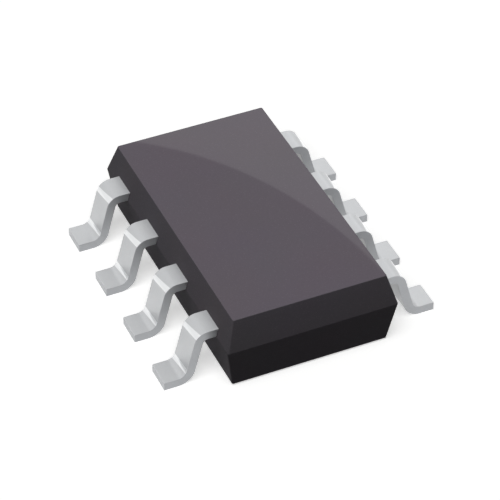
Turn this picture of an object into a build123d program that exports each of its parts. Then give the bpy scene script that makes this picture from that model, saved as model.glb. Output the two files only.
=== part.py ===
from build123d import *
import math
import os

os.makedirs("parts", exist_ok=True)

# A temperature sensor chip: a moulded plastic body with eight gull-wing leads, made to be
# soldered on a circuit board. Lengths are in millimetres and angles in degrees.
# The origin is the centre of the seating plane, on which the eight feet stand.
# X runs across the body, out along the leads, Y runs along the body, and Z is up.

# Moulded body, in two drafted halves that meet at the parting plane
body_length = 2.70
body_width = 1.56
upper_height = 0.28
lower_height = 0.41
upper_inset = 0.08
lower_inset = 0.065
corner_radius = 0.015
standoff = 0.02

# Lead frame: one sheet, stamped and bent
sheet = 0.08
lead_pitch = 0.65
leads_per_side = 4
lead_width = 0.26
shoulder_reach = 0.14
shoulder_radius = 0.09
riser_slant = 15
heel_radius = 0.12
foot_length = 0.22

# Inner ends of the leads, which the moulding grips by their wider heads
head_width = 0.40
head_cover = 0.07
finger_gap = 0.10

# Die paddle, stamped in one piece with the ground lead and pressed down from it
ground_lead_number = 4
downset = 0.15
downset_run = 0.12
downset_flat = 0.045
downset_radius = 0.08
paddle_margin = 0.05
paddle_end = 0.035
paddle_radius = 0.06

# Sensor die and the adhesive under it
die_length = 1.20
die_width = 0.70
die_thickness = 0.15
adhesive_thickness = 0.02
adhesive_margin = 0.02

# Bond wires, each from a ball on the die to a stitch on its lead
wire_diameter = 0.025
loop_height = 0.10
loop_kink = 0.035
ball_diameter = 0.06
ball_height = 0.02
pad_inset = 0.07
stitch_length = 0.06
stitch_width = 0.05
stitch_height = 0.010

# Heights that follow from the sizes above
parting_height = standoff + lower_height
top_height = parting_height + upper_height
finger_top = parting_height + sheet
paddle_bottom = parting_height - downset
paddle_top = paddle_bottom + sheet
die_bottom = paddle_top + adhesive_thickness
die_top = die_bottom + die_thickness

# Distances from the middle of the body that follow from the sizes above
side_edge = body_width / 2
paddle_half_width = die_width / 2 + paddle_margin
paddle_half_length = (leads_per_side - 1) / 2 * lead_pitch + lead_width / 2 + paddle_end
finger_tip = paddle_half_width + finger_gap
head_outer = side_edge - head_cover
downset_low = paddle_half_width + downset_flat
downset_high = downset_low + downset_run
ground_head_inner = downset_high + downset_flat
shoulder_corner = side_edge + shoulder_reach
heel_corner = shoulder_corner + parting_height * math.tan(math.radians(riser_slant))
toe = heel_corner + foot_length
bond_place = (ground_head_inner + head_outer) / 2
pad_place = die_width / 2 - pad_inset
pad_spacing = (die_length - 2 * pad_inset) / (leads_per_side - 1)


def lead_side(number):
    # Leads are numbered anticlockwise from above: the first side is at -X, the next at +X.
    return -1 if number <= leads_per_side else 1


def lead_row(number):
    # Steps from the middle of the side, in pitches, towards +Y.
    place = (number - 1) % leads_per_side
    return lead_side(number) * (place - (leads_per_side - 1) / 2)


def side_plane(number):
    # The plane of a lead's side view: its x points out of the body and its y points up.
    side = lead_side(number)
    along = lead_row(number) * lead_pitch
    return Plane(origin=(0, along, 0), x_dir=(side, 0, 0), z_dir=(0, -side, 0))


def flat_plane(number, height):
    # A level plane at a lead, with its x pointing out of the body.
    side = lead_side(number)
    along = lead_row(number) * lead_pitch
    return Plane(origin=(0, along, height), x_dir=(side, 0, 0), z_dir=(0, 0, 1))


def make_lead(number):
    # A strip bent to a gull wing, with a head inside the body. The ground lead runs on down
    # to the paddle, and its head stops where the strip begins to bend.
    grounded = number == ground_lead_number
    finger_mid = parting_height + sheet / 2
    outside = [(shoulder_corner, finger_mid), (heel_corner, sheet / 2), (toe, sheet / 2)]
    bends = [shoulder_radius, heel_radius]
    if grounded:
        paddle_mid = paddle_bottom + sheet / 2
        inside = [(0, paddle_mid), (downset_low, paddle_mid), (downset_high, finger_mid)]
        bends = [downset_radius, downset_radius] + bends
        head_inner = ground_head_inner
    else:
        inside = [(finger_tip, finger_mid)]
        head_inner = finger_tip
    with BuildPart() as lead:
        with BuildSketch(side_plane(number)):
            with BuildLine():
                FilletPolyline(*inside, *outside, radius=bends)
            trace(line_width=sheet)
        extrude(amount=lead_width / 2, both=True)
        with BuildSketch(flat_plane(number, parting_height)):
            with Locations(((head_inner + head_outer) / 2, 0)):
                Rectangle(head_outer - head_inner, head_width)
        extrude(amount=sheet)
        if grounded:
            with BuildSketch(Plane.XY.offset(paddle_bottom)):
                RectangleRounded(2 * paddle_half_width, 2 * paddle_half_length, paddle_radius)
            extrude(amount=sheet)
    lead.part.label = f"lead_{number}"
    return lead.part


def make_wire(number):
    # A flattened ball on the die, a loop that rises from it, is kinked over and runs down to
    # the lead, and a stitch that is pressed flat on the lead.
    side = lead_side(number)
    pad = Vector(side * pad_place, lead_row(number) * pad_spacing, die_top)
    stitch = Vector(side * bond_place, lead_row(number) * lead_pitch, finger_top)
    level = Vector(stitch.X - pad.X, stitch.Y - pad.Y, 0)
    loop_plane = Plane(origin=pad, x_dir=level, z_dir=level.cross(Vector(0, 0, 1)))
    stitch_plane = Plane(origin=stitch, x_dir=level, z_dir=(0, 0, 1))
    span = level.length - loop_kink
    fall = die_top + loop_height - finger_top
    # The loop runs on past the stitch by its own diameter and is cut off level at the lead.
    past = 1 + wire_diameter / math.hypot(span, fall)
    with BuildPart() as wire:
        with BuildLine(loop_plane) as loop:
            Polyline((0, 0), (0, loop_height - loop_kink), (loop_kink, loop_height),
                     (loop_kink + span * past, loop_height - fall * past))
        with BuildSketch(Plane(origin=pad, z_dir=(0, 0, 1))):
            Circle(wire_diameter / 2)
        sweep(path=loop.line, transition=Transition.RIGHT)
        split(bisect_by=Plane.XY.offset(finger_top), keep=Keep.TOP)
        with BuildSketch(Plane(origin=pad, z_dir=(0, 0, 1))):
            Circle(ball_diameter / 2)
        with BuildSketch(Plane(origin=pad + Vector(0, 0, ball_height), z_dir=(0, 0, 1))):
            Circle(wire_diameter / 2)
        loft(ruled=True)
        with BuildSketch(stitch_plane):
            Rectangle(stitch_length, stitch_width)
        extrude(amount=stitch_height)
    wire.part.label = f"bond_wire_{number}"
    return wire.part


lead_numbers = range(1, 2 * leads_per_side + 1)
leads = [make_lead(number) for number in lead_numbers]
wires = [make_wire(number) for number in lead_numbers]

# The adhesive spreads a little past the die, as a drop does when the die is pressed on it.
with BuildPart() as die_attach:
    with BuildSketch(Plane.XY.offset(paddle_top)):
        RectangleRounded(die_width + 2 * adhesive_margin, die_length + 2 * adhesive_margin,
                         adhesive_margin)
    extrude(amount=adhesive_thickness)
die_attach.part.label = "die_attach"

with BuildPart() as sensor_die:
    with BuildSketch(Plane.XY.offset(die_bottom)):
        Rectangle(die_width, die_length)
    extrude(amount=die_thickness)
sensor_die.part.label = "sensor_die"

# The compound is moulded round the lead frame, the die and the wires and fills every gap.
with BuildPart() as mould_body:
    with BuildSketch(Plane.XY.offset(standoff)):
        RectangleRounded(body_width - 2 * lower_inset, body_length - 2 * lower_inset,
                         corner_radius)
    with BuildSketch(Plane.XY.offset(parting_height)):
        RectangleRounded(body_width, body_length, corner_radius)
    loft(ruled=True)
    with BuildSketch(Plane.XY.offset(parting_height)):
        RectangleRounded(body_width, body_length, corner_radius)
    with BuildSketch(Plane.XY.offset(top_height)):
        RectangleRounded(body_width - 2 * upper_inset, body_length - 2 * upper_inset,
                         corner_radius)
    loft(ruled=True)
    for piece in [*leads, *wires, die_attach.part, sensor_die.part]:
        add(piece, mode=Mode.SUBTRACT)
mould_body.part.label = "mould_body"

for piece in [mould_body.part, *leads, die_attach.part, sensor_die.part, *wires]:
    export_step(piece, f"parts/{piece.label}.step")
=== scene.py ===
import math

import bmesh
import bpy
from mathutils import Matrix, Vector, noise


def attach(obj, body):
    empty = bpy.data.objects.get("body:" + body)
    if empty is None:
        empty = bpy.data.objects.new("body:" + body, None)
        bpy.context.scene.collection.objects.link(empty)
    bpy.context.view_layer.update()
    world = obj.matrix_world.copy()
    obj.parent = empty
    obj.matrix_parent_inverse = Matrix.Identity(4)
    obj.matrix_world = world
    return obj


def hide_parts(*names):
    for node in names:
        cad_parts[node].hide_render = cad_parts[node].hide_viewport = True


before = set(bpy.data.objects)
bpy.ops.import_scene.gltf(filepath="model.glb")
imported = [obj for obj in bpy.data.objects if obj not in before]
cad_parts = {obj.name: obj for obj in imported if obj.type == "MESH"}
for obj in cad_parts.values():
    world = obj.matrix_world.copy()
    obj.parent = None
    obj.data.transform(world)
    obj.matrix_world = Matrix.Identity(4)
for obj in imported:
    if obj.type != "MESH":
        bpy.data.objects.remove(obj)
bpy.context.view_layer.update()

# The lead frame: eight strips of copper alloy, stamped from one sheet, bent to gull wings in a
# press and plated with matte tin. Bands of paler, smoother tin across both bends are painted
# highlights.
# Lengths are in millimetres, and a finished mesh is scaled to metres.
mm = 0.001
sheet = 0.08
lead_width = 0.26
lead_pitch = 0.65
stamped_edge = 0.004

# How the mesh is made: degrees in one step of a bend, the angles past which a corner is rounded
# and is shown sharp, gaps too small to count, and how much of a normal lies along an axis where
# its face counts as square to it
bend_step = 5
corner_angle = math.radians(60)
sharp_angle = math.radians(12)
same_place = 0.001
weld = 0.00001
square_on = 0.99

# Inner end with its wider head, then the centre line of a gull wing on its way out
finger_tip = 0.50
finger_height = 0.47
head_outer = 0.71
head_width = 0.40
shoulder_start = 0.8509
shoulder_radius = 0.09
riser_run = 0.2840
heel_radius = 0.12
foot_run = 0.1279
wing_angle = math.radians(75)

# Ground lead, in one piece with the paddle that carries the die and is pressed down from it
ground_lead = 4
paddle_half_width = 0.40
paddle_half_length = 1.14
paddle_height = 0.32
paddle_corner = 0.06
paddle_near_corner = 0.025
downset_start = 0.4065
downset_radius = 0.08
downset_run = 0.1152
downset_angle = math.radians(51.34)
ground_head_inner = 0.61

# Tin: the tones and the relief of its grain, and how rough its smoother and its rougher patches
# are. A sheared face keeps this share of the tone, a painted shade, and is a side or an end
# where its normal points this far along the body or across it.
dark_tin = (0.509, 0.518, 0.530, 1)
pale_tin = (0.583, 0.593, 0.604, 1)
tin_relief = 0.001
tin_patches = (0.3, 0.7)
tin_roughness = (0.36, 0.44)
side_shade_share = (0.79, 0.795, 0.81, 1)
sheared_side = 0.4
sheared_end = 0.98

# Painted highlight bands across the bends, in paler and smoother tin: each has its lowest and
# highest place in the middle of a lead, and how much it slants in one pitch along the body.
highlight_tin = (0.84, 0.85, 0.86, 1)
highlight_roughness = 0.28
highlight_bands = ((0.437, 0.476, 0.08), (0.106, 0.146, 0.05))
highlight_blur = 0.002


def draw_out(piece, faces, move=(0, 0, 0)):
    # Draws faces out by a move. Faces that close a shape would be left inside it, so they go,
    # and loose ones stay as the far end of the new shape.
    inside = all(len(edge.link_faces) > 1 for face in faces for edge in face.edges)
    grown = bmesh.ops.extrude_face_region(piece, geom=faces)["geom"]
    bmesh.ops.translate(
        piece, vec=move, verts=[part for part in grown if isinstance(part, bmesh.types.BMVert)])
    if inside:
        bmesh.ops.delete(piece, geom=faces, context="FACES_ONLY")
    return [part for part in grown if isinstance(part, bmesh.types.BMFace)]


def round_off(piece, corners, radius, segments, affect="EDGES"):
    bmesh.ops.bevel(piece, geom=corners, offset=radius, offset_type="OFFSET", segments=segments,
                    profile=0.5, affect=affect, clamp_overlap=True, material=-1)


def add_object(piece, name):
    mesh = bpy.data.meshes.new(name)
    piece.to_mesh(mesh)
    piece.free()
    made = bpy.data.objects.new(name, mesh)
    bpy.context.collection.objects.link(made)
    return made


def finished(piece, name, side=1, row=0.0):
    # Turns a mesh in millimetres into an object in metres. A side of -1 mirrors it across the
    # body, and row is its place along the body.
    bmesh.ops.remove_doubles(piece, verts=piece.verts, dist=weld)
    bmesh.ops.translate(piece, verts=piece.verts, vec=(0, row, 0))
    bmesh.ops.scale(piece, verts=piece.verts, vec=(side * mm, mm, mm))
    bmesh.ops.recalc_face_normals(piece, faces=piece.faces)
    made = add_object(piece, name)
    made.data.shade_smooth()
    made.data.set_sharp_from_angle(angle=sharp_angle)
    made.modifiers.new("level_flats", "WEIGHTED_NORMAL").keep_sharp = True
    return made


class Strip:
    # A strip of the sheet that starts as its inner end, standing across the sheet, and grows
    # outwards by straight runs and bends.

    def __init__(self, x, z):
        self.mesh = bmesh.new()
        blank = bmesh.ops.create_grid(self.mesh, x_segments=1, y_segments=1, size=0.5)["verts"]
        bmesh.ops.scale(self.mesh, verts=blank, vec=(sheet, lead_width, 1))
        bmesh.ops.rotate(self.mesh, verts=blank, cent=(0, 0, 0),
                         matrix=Matrix.Rotation(math.pi / 2, 3, "Y"))
        bmesh.ops.translate(self.mesh, verts=blank, vec=(x, 0, z))
        self.face = self.mesh.faces[:][0]
        self.end = Vector((x, 0, z))
        self.heading = 0.0

    def upwards(self):
        # Out of the upper face of the strip, where it ends.
        return Vector((-math.sin(self.heading), 0, math.cos(self.heading)))

    def run(self, length):
        along = Vector((math.cos(self.heading), 0, math.sin(self.heading))) * length
        self.face = draw_out(self.mesh, [self.face], along)[0]
        self.end += along

    def run_to(self, x):
        # A run of a level strip.
        self.run(x - self.end.x)

    def bend(self, radius, angle):
        # A bend about an axis across the strip: up where the angle is positive.
        radius = math.copysign(radius, angle)
        centre = self.end + self.upwards() * radius
        grown = bmesh.ops.spin(
            self.mesh, geom=[self.face, *self.face.edges, *self.face.verts], cent=centre,
            axis=(0, -1, 0), angle=angle, steps=round(math.degrees(abs(angle)) / bend_step),
            use_duplicate=False)["geom_last"]
        self.face = next(part for part in grown if isinstance(part, bmesh.types.BMFace))
        self.heading += angle
        self.end = centre - self.upwards() * radius

    def widen(self, low, high, flank, reach):
        # Draws one flank of the strip, -1 or 1, out sideways between two places along it.
        self.mesh.normal_update()
        faces = [face for face in self.mesh.faces if face.normal.y * flank > square_on
                 and low < face.calc_center_median().x < high]
        draw_out(self.mesh, faces, (0, flank * reach, 0))

    def round_corner(self, x, y, radius):
        # Rounds an upright corner of the paddle.
        corner = [edge for edge in self.mesh.edges
                  if abs(edge.verts[0].co.z - edge.verts[1].co.z) > sheet / 2
                  and all(abs(v.co.x - x) < same_place and abs(v.co.y - y) < same_place
                          for v in edge.verts)]
        round_off(self.mesh, corner, radius, 6)

    def soften(self):
        # Takes the sharpness off every stamped edge.
        self.mesh.normal_update()
        edges = [edge for edge in self.mesh.edges if edge.calc_face_angle(0) > corner_angle]
        round_off(self.mesh, edges, stamped_edge, 2)


class Nodes:
    # The nodes of a material or of the world. An input is set to a plain value, or joined to
    # what another node puts out.

    def __init__(self, owner):
        owner.use_nodes = True
        self.tree = owner.node_tree

    def feed(self, node, inputs):
        for slot, value in inputs.items():
            if isinstance(value, bpy.types.NodeSocket):
                self.tree.links.new(value, node.inputs[slot])
            else:
                node.inputs[slot].default_value = value

    def add(self, kind, inputs, **settings):
        node = self.tree.nodes.new("ShaderNode" + kind)
        for setting, value in settings.items():
            setattr(node, setting, value)
        self.feed(node, inputs)
        return node.outputs

    def maths(self, operation, *values):
        return self.add("Math", dict(enumerate(values)), operation=operation)[0]

    def mix(self, share, first, second, blend_type="MIX"):
        # Mixes two colours, which a Mix node takes at inputs 6 and 7 and gives at output 2.
        colours = {0: share, 6: first, 7: second}
        return self.add("Mix", colours, data_type="RGBA", blend_type=blend_type)[2]

    def ramp(self, value, start, stop, low, high):
        # Takes a value from one range to another, and holds it beyond the ends.
        return self.add("MapRange", {"Value": value, "From Min": start, "From Max": stop,
                                     "To Min": low, "To Max": high})[0]


def new_finish(name, colour, roughness, metallic=0.0):
    # A plain material, with its nodes, its shader and where each point of its surface lies.
    material = bpy.data.materials.new(name)
    nodes = Nodes(material)
    shader = nodes.tree.nodes["Principled BSDF"]
    nodes.feed(shader, {"Base Color": (*colour, 1), "Roughness": roughness, "Metallic": metallic})
    return material, nodes, shader, nodes.add("TexCoord", {})


def tin_plate():
    # A fine crystal grain, and patches that are a little smoother. Sides and ends, which were
    # sheared, are darkened with painted shade. The painted highlight bands are on the faces that
    # turn away from the body.
    material, nodes, shader, where = new_finish("matte_tin", (0.53, 0.535, 0.545), 0.4, 0.6)
    place = nodes.add("SeparateXYZ", {"Vector": where["Object"]})
    facing = nodes.add("SeparateXYZ", {"Vector": where["Normal"]})
    grain = nodes.add("TexNoise", {"Vector": where["Object"], "Scale": 110 / mm, "Detail": 2,
                                   "Roughness": 0.6})["Fac"]
    patch = nodes.add("TexNoise", {"Vector": where["Object"], "Scale": 5.2 / mm, "Detail": 3,
                                   "Roughness": 0.55})["Fac"]
    relief = nodes.add("Bump", {"Strength": 0.15, "Distance": tin_relief * mm,
                                "Height": grain})

    outward = nodes.maths("GREATER_THAN", nodes.maths("MULTIPLY", place["X"], facing["X"]), 0.0)
    broad = nodes.maths("LESS_THAN", nodes.maths("ABSOLUTE", facing["Y"]), sheared_side)
    end = nodes.maths("GREATER_THAN", nodes.maths("ABSOLUTE", facing["X"]), sheared_end)
    # Painted shade: the sides and ends of the strips are the faces darkened below.
    shaded_sides = nodes.maths("MAXIMUM", nodes.maths("SUBTRACT", 1.0, broad), end)

    pitches = nodes.maths("DIVIDE", place["Y"], lead_pitch * mm)
    off_middle = nodes.maths("SUBTRACT", nodes.maths("FRACT", pitches), 0.5)
    bands = 0.0
    # Painted highlight: bands of paler tin across the bends.
    for low, high, slant in highlight_bands:
        level = nodes.maths("MULTIPLY_ADD", off_middle, slant * mm, place["Z"])
        away = nodes.maths("ABSOLUTE", nodes.maths("SUBTRACT", level, (low + high) / 2 * mm))
        half = (high - low) / 2
        band = nodes.ramp(away, (half + highlight_blur) * mm, (half - highlight_blur) * mm, 0.0, 1.0)
        bands = nodes.maths("MAXIMUM", bands, band)
    painted_highlight = nodes.maths("MULTIPLY", nodes.maths("MULTIPLY", outward, broad), bands)

    crystals = nodes.mix(grain, dark_tin, pale_tin)
    # Painted shade: the sides and ends take a darker share of the tin colour.
    plain = nodes.mix(shaded_sides, crystals, side_shade_share, "MULTIPLY")
    roughness = nodes.ramp(patch, *tin_patches, *tin_roughness)
    # The painted highlight bands get the paler tin colour and a smoother roughness.
    nodes.feed(shader, {"Base Color": nodes.mix(painted_highlight, plain, highlight_tin),
                        "Roughness": nodes.ramp(painted_highlight, 0.0, 1.0, roughness, highlight_roughness),
                        "Normal": relief["Normal"]})
    return material


matte_tin = tin_plate()
for number in range(1, 9):
    side = -1 if number <= 4 else 1
    row = side * ((number - 1) % 4 - 1.5) * lead_pitch
    if number == ground_lead:
        head_inner = ground_head_inner
        strip = Strip(-paddle_half_width, paddle_height)
        strip.run_to(paddle_half_width)
        strip.run_to(downset_start)
        strip.bend(downset_radius, downset_angle)
        strip.run(downset_run)
        strip.bend(downset_radius, -downset_angle)
        strip.run_to(head_inner)
    else:
        head_inner = finger_tip
        strip = Strip(head_inner, finger_height)
    strip.run_to(head_outer)
    strip.run_to(shoulder_start)
    strip.bend(shoulder_radius, -wing_angle)
    strip.run(riser_run)
    strip.bend(heel_radius, wing_angle)
    strip.run(foot_run)
    for flank in (-1, 1):
        strip.widen(head_inner, head_outer, flank, (head_width - lead_width) / 2)
    if number == ground_lead:
        for flank, radius in ((-1, paddle_near_corner), (1, paddle_corner)):
            paddle_end = flank * paddle_half_length - row
            strip.widen(-paddle_half_width, paddle_half_width, flank,
                        abs(paddle_end) - lead_width / 2)
            for x in (-paddle_half_width, paddle_half_width):
                strip.round_corner(x, paddle_end, radius)
    strip.soften()
    lead = finished(strip.mesh, f"formed_lead_{number}", side, row)
    lead.data.materials.append(matte_tin)
    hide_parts(f"lead_{number}")
    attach(lead, "root")

# The adhesive under the die: a drop of epoxy that is filled with silver flakes, pressed flat
# when the die is set on it and then cured. It is hidden in the moulding.
material, nodes, shader, where = new_finish("silver_epoxy", (0.34, 0.33, 0.31), 0.5, 0.3)
flakes = nodes.add("TexVoronoi", {"Vector": where["Object"], "Scale": 90 / mm})
mottle = nodes.mix(flakes["Distance"], (0.62, 0.61, 0.58, 1), (0.22, 0.21, 0.19, 1))
nodes.feed(shader, {"Base Color": mottle})
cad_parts["die_attach"].data.materials[0] = material

# The sensor die: a chip of silicon, sawn from a wafer, with its circuit printed on the top in
# blocks of fine lines. The top is passivated with clear glass, so it is smooth.
material, nodes, shader, where = new_finish("silicon_chip", (0.10, 0.11, 0.13), 0.22, 0.4)
blocks = nodes.add("TexBrick", {
    "Vector": where["Object"], "Scale": 9 / mm, "Mortar Size": 0.04,
    "Color1": (0.11, 0.13, 0.15, 1), "Color2": (0.17, 0.15, 0.12, 1),
    "Mortar": (0.05, 0.055, 0.065, 1)}, offset=0.5, squash=0.7)
cells = nodes.add("TexNoise", {"Vector": where["Object"], "Scale": 60 / mm, "Detail": 1})
nodes.feed(shader, {"Base Color": nodes.mix(0.35, blocks["Color"], cells["Color"], "MULTIPLY")})
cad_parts["sensor_die"].data.materials[0] = material

# The bond wires: eight gold wires, each melted to a ball on the die, looped over and pressed
# to a stitch on its lead. Drawing leaves faint lines along the wire.
material, nodes, shader, where = new_finish("gold_wire", (0.95, 0.66, 0.26), 0.2, 1.0)
drawn = nodes.add("TexNoise", {"Vector": where["Object"], "Scale": 150 / mm, "Detail": 2})
tone = nodes.mix(drawn["Fac"], (0.90, 0.60, 0.22, 1), (1.00, 0.72, 0.31, 1))
nodes.feed(shader, {"Base Color": tone})
for number in range(1, 9):
    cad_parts[f"bond_wire_{number}"].data.materials[0] = material

# The moulded body: one block of black epoxy filled with fused silica, moulded round the rest
# in two drafted halves that meet in a sharp edge. The mould's polished insert leaves the top
# glossy, and spark erosion leaves the sides matte.
half_width = 0.78
half_length = 1.35
underside = 0.02
parting_height = 0.43
top_height = 0.71
lower_inset = 0.065
upper_inset = 0.08
corner_radius = 0.015
mould_corner = 0.004
polished, broken = 1, 2

body = bmesh.new()
outline = bmesh.ops.create_grid(body, x_segments=1, y_segments=1, size=1)["verts"]
bmesh.ops.scale(body, verts=outline, vec=(half_width - lower_inset, half_length - lower_inset, 1))
bmesh.ops.translate(body, verts=outline, vec=(0, 0, underside))
round_off(body, outline, corner_radius, 8, "VERTICES")
level = body.faces[:][0]
for rise, inset in ((parting_height - underside, -lower_inset),
                    (top_height - parting_height, upper_inset)):
    level = draw_out(body, [level], (0, 0, rise))[0]
    for v in level.verts:
        v.co.x -= math.copysign(1, v.co.x) * inset
        v.co.y -= math.copysign(1, v.co.y) * inset
level.material_index = polished
body.normal_update()
rims = [edge for edge in body.edges if abs(edge.verts[0].co.z - edge.verts[1].co.z) < same_place]
round_off(body, rims, mould_corner, 3)

# The ejector pin leaves a shallow round dimple in the middle of the underside. Its wall leans
# in, each ring of it being a little smaller than the one before.
pin_mark = 0.21
pin_depth = 0.008
ring_share = 0.97

base = next(face for face in body.faces if face.normal.z < -square_on)
rim = list(base.edges)
bmesh.ops.delete(body, geom=[base], context="FACES_ONLY")
ring = bmesh.ops.create_circle(body, segments=48, radius=pin_mark)["verts"]
bmesh.ops.translate(body, verts=ring, vec=(0, 0, underside))
ring_edges = [edge for edge in body.edges if all(v in ring for v in edge.verts)]
bmesh.ops.bridge_loops(body, edges=rim + ring_edges)
for rise in (0.0, pin_depth):
    grown = bmesh.ops.extrude_edge_only(body, edges=ring_edges)["geom"]
    ring = [part for part in grown if isinstance(part, bmesh.types.BMVert)]
    ring_edges = [part for part in grown if isinstance(part, bmesh.types.BMEdge)
                  and all(v in ring for v in part.verts)]
    bmesh.ops.scale(body, verts=ring, vec=(ring_share, ring_share, 1))
    bmesh.ops.translate(body, verts=ring, vec=(0, 0, rise))
bmesh.ops.contextual_create(body, geom=ring_edges)

# The runner is snapped off at the back end, and leaves a low rough stub over the parting line,
# with lumps of two sizes. Its root is inside the body.
gate_width = 0.32
gate_height = 0.055
gate_root = 1.30
gate_clearance = 0.004
gate_setback = 0.002
lump_depth = 0.006
lumps_per_mm = (40, 17)

stub = bmesh.ops.create_grid(body, x_segments=24, y_segments=5, size=0.5)["verts"]
bmesh.ops.scale(body, verts=stub, vec=(gate_width, gate_height, 1))
bmesh.ops.rotate(body, verts=stub, cent=(0, 0, 0), matrix=Matrix.Rotation(-math.pi / 2, 3, "X"))
bmesh.ops.translate(body, verts=stub, vec=(
    0, gate_root, parting_height + gate_height / 2 + gate_clearance))
root = [face for face in body.faces if all(v in stub for v in face.verts)]
broken_end = draw_out(body, root)
for face in broken_end:
    face.material_index = broken
for v in {v for face in broken_end for v in face.verts}:
    fine = noise.noise(v.co * lumps_per_mm[0])
    v.co.y = half_length - gate_setback - lump_depth * fine ** 2
    v.co.y -= lump_depth * abs(noise.noise(v.co * lumps_per_mm[1]))
moulding = finished(body, "moulding")

# Epoxy: its dark and pale grain and its specks of silica, as shares of the colour of the finish.
# A speck shows half through, and fades between two distances from its middle. The tone changes
# slowly where the epoxy flowed.
dark_grain = 0.905
pale_grain = 1.10
silica = 1.40
silica_shown = 0.5
silica_fade = (0.10, 0.24)
flow_shown = 0.08
epoxy_relief = 0.002
epoxy_specular = 0.01


def moulded_epoxy(name, colour, roughness, coat=0.0, coat_roughness=0.3):
    colour = Vector(colour)
    material, nodes, shader, where = new_finish(name, colour, roughness)
    grain = nodes.add("TexNoise", {"Vector": where["Object"], "Scale": 70 / mm, "Detail": 3,
                                   "Roughness": 0.6})["Fac"]
    flow = nodes.add("TexNoise", {"Vector": where["Object"], "Scale": 1.5 / mm, "Detail": 2,
                                  "Roughness": 0.5})["Color"]
    cells = nodes.add("TexVoronoi", {"Vector": where["Object"], "Scale": 42 / mm})["Distance"]
    relief = nodes.add("Bump", {"Strength": 0.25, "Distance": epoxy_relief * mm,
                                "Height": grain})
    even = nodes.mix(grain, (*colour * dark_grain, 1), (*colour * pale_grain, 1))
    flowed = nodes.mix(flow_shown, even, flow, "MULTIPLY")
    speck = nodes.ramp(cells, *silica_fade, silica_shown, 0.0)
    nodes.feed(shader, {"Base Color": nodes.mix(speck, flowed, (*colour * silica, 1)),
                        "Specular IOR Level": epoxy_specular, "Coat Weight": coat,
                        "Coat Roughness": coat_roughness, "Normal": relief["Normal"]})
    return material


# Painted light: the matte sides of the one epoxy get a paler colour than the polished top,
# setting how bright the faces show.
for finish in (moulded_epoxy("matte_epoxy", (0.0978, 0.0895, 0.1012), 0.6),
               moulded_epoxy("polished_epoxy", (0.0824, 0.0672, 0.0850), 0.5, 0.75, 0.018),
               moulded_epoxy("broken_epoxy", (0.144, 0.125, 0.147), 0.8)):
    moulding.data.materials.append(finish)
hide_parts("mould_body")
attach(moulding, "root")

# The floor of the studio: a plain white sheet, just under the feet. It shows white to the
# camera and in reflections, keeps the chip's soft shadow, throws little light back at the chip,
# and can be looked through from below.
floor_radius = 150
floor_drop = 0.0005
floor_glow = 0.47
mirrored_glow = 0.25
paper_white = (0.95, 0.95, 0.945, 1)
bounce_grey = (0.17, 0.17, 0.17, 1)


def bare_nodes(owner):
    nodes = Nodes(owner)
    nodes.tree.nodes.clear()
    return nodes


def looked_at(nodes, path):
    # 1 for rays that show a thing to the camera, straight, mirrored or through glass, and 0 for
    # those that light other things.
    mirrored = nodes.maths("MAXIMUM", path["Is Camera Ray"], path["Is Glossy Ray"])
    return nodes.maths("MAXIMUM", mirrored, path["Is Transmission Ray"])


floor_disc = bmesh.new()
bmesh.ops.create_circle(floor_disc, cap_ends=True, segments=96, radius=floor_radius * mm)
bmesh.ops.translate(floor_disc, verts=floor_disc.verts, vec=(0, 0, -floor_drop * mm))
floor = add_object(floor_disc, "studio_floor")
material = bpy.data.materials.new("white_sheet")
nodes = bare_nodes(material)
path = nodes.add("LightPath", {})
glow = nodes.maths("MULTIPLY_ADD", path["Is Glossy Ray"], mirrored_glow, floor_glow)
lift = nodes.add("Emission", {"Color": (1, 1, 0.995, 1), "Strength": glow})
paper = nodes.add("BsdfDiffuse", {"Color": paper_white})
shown = nodes.add("AddShader", {0: paper[0], 1: lift[0]})
bounce = nodes.add("BsdfDiffuse", {"Color": bounce_grey})
front = nodes.add("MixShader", {0: looked_at(nodes, path), 1: bounce[0], 2: shown[0]})
clear = nodes.add("BsdfTransparent", {})
side = nodes.add("NewGeometry", {})
sides = nodes.add("MixShader", {0: side["Backfacing"], 1: front[0], 2: clear[0]})
nodes.add("OutputMaterial", {"Surface": sides[0]})
floor.data.materials.append(material)

# The lamps: a broad soft one overhead for the chip, a wider one from the front left for the floor
# alone, which throws the shadow back and a little to the right, and a weak one from below for
# the underside, which the floor doesn't stop. Nothing mirrors the chip's two lamps.
floor_apart = bpy.data.collections.new("floor_apart")
floor_apart.objects.link(floor)
floor_apart.collection_objects[0].light_linking.link_state = "EXCLUDE"
floor_alone = bpy.data.collections.new("floor_alone")
floor_alone.objects.link(floor)


def soft_lamp(name, direction, energy, spread, lit, mirrored):
    # A far lamp in that direction from the chip, as wide as its spread in degrees.
    lamp = bpy.data.lights.new(name, "SUN")
    lamp.energy = energy
    lamp.angle = math.radians(spread)
    made = bpy.data.objects.new(name, lamp)
    made.rotation_euler = Vector(direction).to_track_quat("Z", "Y").to_euler()
    made.light_linking.receiver_collection = lit
    made.visible_glossy = mirrored
    bpy.context.collection.objects.link(made)
    return made


soft_lamp("overhead_lamp", (-0.12, 0.04, 0.985), 2.9, 40, floor_apart, False)
soft_lamp("floor_lamp", (-0.30, -0.40, 0.866), 1.80, 50, floor_alone, True)
under = soft_lamp("under_lamp", (0.25, 0.25, -0.93), 1.0, 10, floor_apart, False)
under.light_linking.blocker_collection = floor_apart

# The cards: a white panel behind, where the flat top mirrors the camera's view to, and a round
# pale card before it, whose edge shows as the arc on the gloss. Only reflections show them.
mirrored_view = Vector((0.3158, 0.7087, 0.6309))
pale_card_centre = Vector((4.495, 18.609, 25.108))
pale_card_radius = 8.383
pale_card_glow = 0.74
panel_centre = mirrored_view * 36 + Vector((4, -1, -4))
panel_half = 9
panel_glow = 1.46


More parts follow.
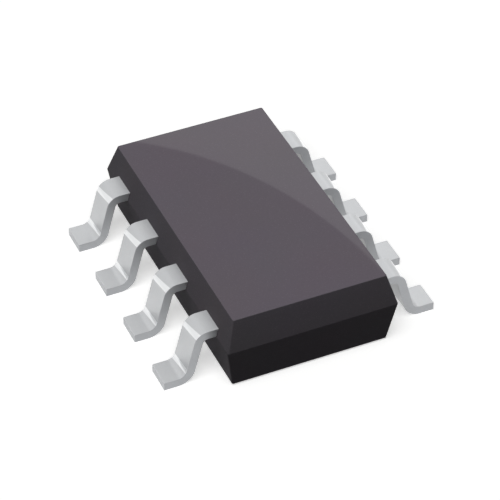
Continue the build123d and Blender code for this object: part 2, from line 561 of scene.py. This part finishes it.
def hang_card(shape, name, centre, strength):
    # Turns a flat card to the chip, hangs it in its place and makes it glow.
    turn = (-mirrored_view).to_track_quat("Z", "Y").to_matrix()
    bmesh.ops.rotate(shape, verts=shape.verts, cent=(0, 0, 0), matrix=turn)
    bmesh.ops.translate(shape, verts=shape.verts, vec=centre)
    bmesh.ops.scale(shape, verts=shape.verts, vec=(mm, mm, mm))
    card = add_object(shape, name)
    material = bpy.data.materials.new(name)
    nodes = bare_nodes(material)
    glow = nodes.add("Emission", {"Strength": strength})
    nodes.add("OutputMaterial", {"Surface": glow[0]})
    card.data.materials.append(material)
    for ray in ("camera", "diffuse", "transmission", "shadow", "volume_scatter"):
        setattr(card, "visible_" + ray, False)


disc = bmesh.new()
bmesh.ops.create_circle(disc, cap_ends=True, segments=128, radius=pale_card_radius)
hang_card(disc, "pale_card", pale_card_centre, pale_card_glow)
panel = bmesh.new()
bmesh.ops.create_grid(panel, x_segments=1, y_segments=1, size=panel_half)
hang_card(panel, "back_panel", panel_centre, panel_glow)

# The studio round it all: white to the camera and in reflections, and a weak fill otherwise.
studio_fill = 0.10
world = bpy.data.worlds.new("studio")
bpy.context.scene.world = world
nodes = bare_nodes(world)
seen = looked_at(nodes, nodes.add("LightPath", {}))
fill = nodes.add("Background", {"Color": (1, 1, 1, 1), "Strength": studio_fill})
white = nodes.add("Background", {"Color": (1, 1, 1, 1), "Strength": 1.0})
studio = nodes.add("MixShader", {0: seen, 1: fill[0], 2: white[0]})
nodes.add("OutputWorld", {"Surface": studio[0]})
bpy.context.scene.view_settings.view_transform = "Standard"

# The camera: a long lens in front, to the left and 40 degrees up, as in the drawing.
aim = Vector((-0.02155, -0.08915, 0.32332)) * mm
lens = bpy.data.cameras.new("camera")
lens.sensor_width = 36
lens.lens = 187.377
lens.clip_start = 1 * mm
lens.clip_end = 1000 * mm
camera = bpy.data.objects.new("camera", lens)
camera.location = Vector((-7.01996, -15.79641, 14.86278)) * mm
camera.rotation_euler = (aim - camera.location).to_track_quat("-Z", "Y").to_euler()
bpy.context.collection.objects.link(camera)
bpy.context.scene.camera = camera
